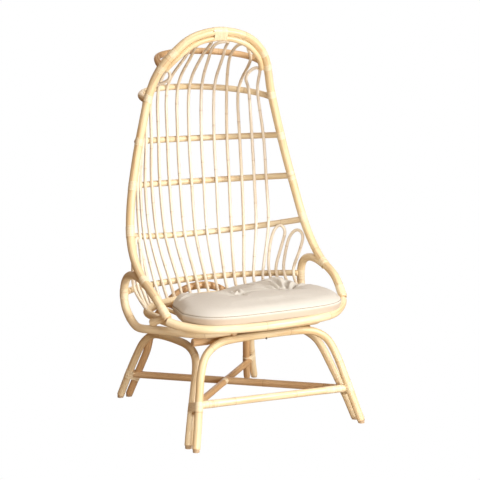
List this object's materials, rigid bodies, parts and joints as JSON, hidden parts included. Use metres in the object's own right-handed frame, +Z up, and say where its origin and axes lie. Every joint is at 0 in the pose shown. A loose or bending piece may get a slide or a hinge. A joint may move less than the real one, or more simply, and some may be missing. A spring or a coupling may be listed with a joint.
{
  "type": "hooded rattan cocoon chair",
  "caption": "Free-standing hooded cocoon chair of bent rattan poles and slim canes on a splayed hoop base, with a loose seat cushion.",
  "frame": {"origin": "centre of the overall box on the floor", "axes": "+Z up, the sitter faces -Y, +X is to the right seen from the front"},
  "size_m": [0.8712, 0.8868, 1.5772],
  "materials": {
    "rattan": "satin clear lacquer over peeled rattan pole",
    "slim_cane": "satin clear lacquer over slim peeled cane",
    "binding_cane": "satin flat peel wound round the joints",
    "foot_plugs": "matt",
    "dark_steel": "dull nail and screw heads",
    "cushion_cloth": "plain woven cotton cover"
  },
  "bodies": {
    "chair": {"main_hoop": "rattan", "crown_pole": "rattan", "rib_hood": "rattan", "rib_crest": "rattan", "rib_upper": "rattan", "rib_middle": "rattan", "rib_lower": "rattan", "seat_back_rail": "rattan", "cane_loop_1": "slim_cane", "cane_loop_2": "slim_cane", "cane_loop_3": "slim_cane", "cane_loop_4": "slim_cane", "cane_loop_5": "slim_cane", "cane_loop_6": "slim_cane", "cane_loop_7": "slim_cane", "petal_left_front": "slim_cane", "petal_left_rear": "slim_cane", "petal_right_front": "slim_cane", "petal_right_rear": "slim_cane", "arm_left": "rattan", "arm_right": "rattan", "seat_front_bow": "rattan", "seat_back_bow": "rattan", "seat_slats": "rattan", "seat_bearers": "rattan", "base_front_hoop": "rattan", "base_back_hoop": "rattan", "base_left_hoop": "rattan", "base_right_hoop": "rattan", "stretcher_long": "rattan", "stretcher_short": "rattan", "stretcher_front": "rattan", "bind_crown": "binding_cane", "bind_ribs_left": "binding_cane", "bind_ribs_right": "binding_cane", "bind_arms": "binding_cane", "bind_seat": "binding_cane", "bind_legs": "binding_cane", "bind_stretchers": "binding_cane", "corner_stubs": "rattan", "base_screws": "dark_steel", "foot_glides": "foot_plugs"},
    "cushion": {"seat_cushion": "cushion_cloth"}
  },
  "joints": [
    {"name": "cushion_lift", "type": "slide", "parent": "chair", "child": "cushion", "axis": [0, 0, 1], "range_m": [0, 0.12]}
  ]
}
